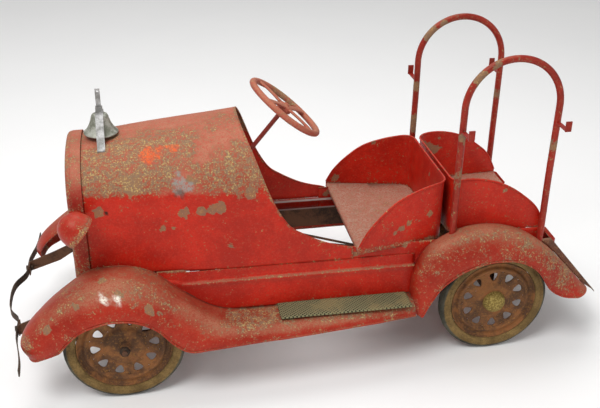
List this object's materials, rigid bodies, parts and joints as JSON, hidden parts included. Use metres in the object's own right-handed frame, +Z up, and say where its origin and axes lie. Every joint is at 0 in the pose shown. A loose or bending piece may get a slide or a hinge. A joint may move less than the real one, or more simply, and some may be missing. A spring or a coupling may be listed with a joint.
{
  "type": "pedal car",
  "caption": "Pressed-steel child's pedal car in fire-engine style, with a hood bell, back-to-back seats, grab hoops, working steering and a crank-driven rear axle.",
  "frame": {"origin": "centre of the object's bounding box in plan, at the floor under the tyres", "axes": "+X forward towards the radiator and bumper, +Y to the driver's left, +Z up"},
  "size_m": [1.3303, 0.568, 0.7014],
  "materials": {
    "body_red": "worn red enamel over pressed steel",
    "hoop_red": "worn red enamel on steel rod",
    "wheel_steel": "rusted, once painted pressed steel",
    "tyre": "aged solid rubber, cracked and dusty",
    "mat_rubber": "perished ribbed rubber",
    "brass_cap": "dull brass",
    "bell_metal": "dull, pitted plating",
    "lamp_paint": "worn tan and red enamel",
    "radiator_paint": "worn red enamel",
    "chassis_steel": "dark rusted steel",
    "bumper_steel": "dark rusted strip",
    "steering_red": "worn pink-red enamel"
  },
  "bodies": {
    "body": {"axle_hangers": "chassis_steel", "bell": "bell_metal", "bell_bracket": "bell_metal", "bumper": "bumper_steel", "bumper_bolts": "bumper_steel", "column_strap": "chassis_steel", "cross_members": "chassis_steel", "frame_rail_left": "chassis_steel", "frame_rail_right": "chassis_steel", "front_axle_beam": "chassis_steel", "front_fender_left": "body_red", "front_fender_right": "body_red", "front_seat_back": "body_red", "front_seat_pan": "body_red", "grab_hoop_left": "hoop_red", "grab_hoop_right": "hoop_red", "hood": "body_red", "hose_hooks": "hoop_red", "kingpins": "chassis_steel", "lamp_brackets": "lamp_paint", "pedal_shaft": "chassis_steel", "radiator_grille": "radiator_paint", "radiator_shell": "radiator_paint", "rear_fender_left": "body_red", "rear_fender_right": "body_red", "rear_seat_back": "body_red", "rear_seat_pan": "body_red", "side_panel_left": "body_red", "side_panel_right": "body_red", "sill_left": "body_red", "sill_right": "body_red", "steering_cross_bar": "chassis_steel", "step_mat_left": "mat_rubber", "step_mat_right": "mat_rubber", "tail_plate": "body_red"},
    "steering": {"steering_column": "chassis_steel", "steering_wheel": "steering_red"},
    "left_knuckle": {"knuckle_left": "chassis_steel", "hub_nut_left": "bumper_steel"},
    "right_knuckle": {"knuckle_right": "chassis_steel", "hub_nut_right": "bumper_steel"},
    "track_rod": {"tie_rod": "chassis_steel"},
    "left_front_wheel": {"front_wheel_left": "wheel_steel", "front_tyre_left": "tyre"},
    "right_front_wheel": {"front_wheel_right": "wheel_steel", "front_tyre_right": "tyre"},
    "crank": {"crank_axle": "chassis_steel", "rear_wheel_left": "wheel_steel", "rear_tyre_left": "tyre", "hub_cap_left": "brass_cap"},
    "right_rear_wheel": {"rear_wheel_right": "wheel_steel", "rear_tyre_right": "tyre", "hub_cap_right": "brass_cap"},
    "left_push_rod": {"push_rod_left": "chassis_steel"},
    "right_push_rod": {"push_rod_right": "chassis_steel"},
    "left_pedal": {"pedal_left": "chassis_steel"},
    "right_pedal": {"pedal_right": "chassis_steel"},
    "bell_rocker": {"bell_lever": "bell_metal"},
    "left_lamp": {"lamp_left": "lamp_paint"},
    "right_lamp": {"lamp_right": "lamp_paint"}
  },
  "joints": [
    {"name": "steering_turn", "type": "hinge", "parent": "body", "child": "steering", "pos_m": [0.044, 0, 0.555], "axis": [0.6307, 0, -0.776], "range_deg": [-24, 24]},
    {"name": "left_kingpin", "type": "hinge", "parent": "body", "child": "left_knuckle", "pos_m": [0.415, 0.15, 0.127], "axis": [0, 0, 1], "range_deg": [-14, 14]},
    {"name": "right_kingpin", "type": "hinge", "parent": "body", "child": "right_knuckle", "pos_m": [0.415, -0.15, 0.127], "axis": [0, 0, 1], "range_deg": [-14, 14]},
    {"name": "track_rod_pivot", "type": "hinge", "parent": "left_knuckle", "child": "track_rod", "pos_m": [0.355, 0.15, 0.118], "axis": [0, 0, 1], "range_deg": [-14, 14]},
    {"name": "left_front_wheel_spin", "type": "hinge", "parent": "left_knuckle", "child": "left_front_wheel", "pos_m": [0.415, 0.206, 0.127], "axis": [0, 1, 0], "continuous": true},
    {"name": "right_front_wheel_spin", "type": "hinge", "parent": "right_knuckle", "child": "right_front_wheel", "pos_m": [0.415, -0.206, 0.127], "axis": [0, 1, 0], "continuous": true},
    {"name": "crank_turn", "type": "hinge", "parent": "body", "child": "crank", "pos_m": [-0.411, 0, 0.127], "axis": [0, 1, 0], "continuous": true},
    {"name": "right_rear_wheel_spin", "type": "hinge", "parent": "crank", "child": "right_rear_wheel", "pos_m": [-0.411, -0.165, 0.127], "axis": [0, 1, 0], "continuous": true},
    {"name": "left_push_rod_pivot", "type": "hinge", "parent": "crank", "child": "left_push_rod", "pos_m": [-0.411, 0.046, 0.167], "axis": [0, 1, 0], "continuous": true},
    {"name": "right_push_rod_pivot", "type": "hinge", "parent": "crank", "child": "right_push_rod", "pos_m": [-0.411, -0.046, 0.087], "axis": [0, 1, 0], "continuous": true},
    {"name": "left_pedal_swing", "type": "hinge", "parent": "body", "child": "left_pedal", "pos_m": [0.229, 0.05, 0.4], "axis": [0, 1, 0], "range_deg": [-21, 21]},
    {"name": "right_pedal_swing", "type": "hinge", "parent": "body", "child": "right_pedal", "pos_m": [0.229, -0.05, 0.4], "axis": [0, 1, 0], "range_deg": [-21, 21]},
    {"name": "bell_rocker_swing", "type": "hinge", "parent": "body", "child": "bell_rocker", "pos_m": [0.432, 0, 0.5748], "axis": [0, 1, 0], "range_deg": [-22, 22]},
    {"name": "left_lamp_tilt", "type": "hinge", "parent": "body", "child": "left_lamp", "pos_m": [0.491, 0.176, 0.392], "axis": [0, 1, 0], "range_deg": [-40, 40]},
    {"name": "right_lamp_tilt", "type": "hinge", "parent": "body", "child": "right_lamp", "pos_m": [0.491, -0.176, 0.392], "axis": [0, 1, 0], "range_deg": [-40, 40]}
  ],
  "couplings": [
    {"joint": "left_kingpin", "follows": "steering_turn", "ratio": -0.5685},
    {"joint": "right_kingpin", "follows": "steering_turn", "ratio": -0.5685},
    {"joint": "track_rod_pivot", "follows": "steering_turn", "ratio": 0.5685},
    {"joint": "left_push_rod_pivot", "follows": "crank_turn", "ratio": -1},
    {"joint": "right_push_rod_pivot", "follows": "crank_turn", "ratio": -1}
  ]
}
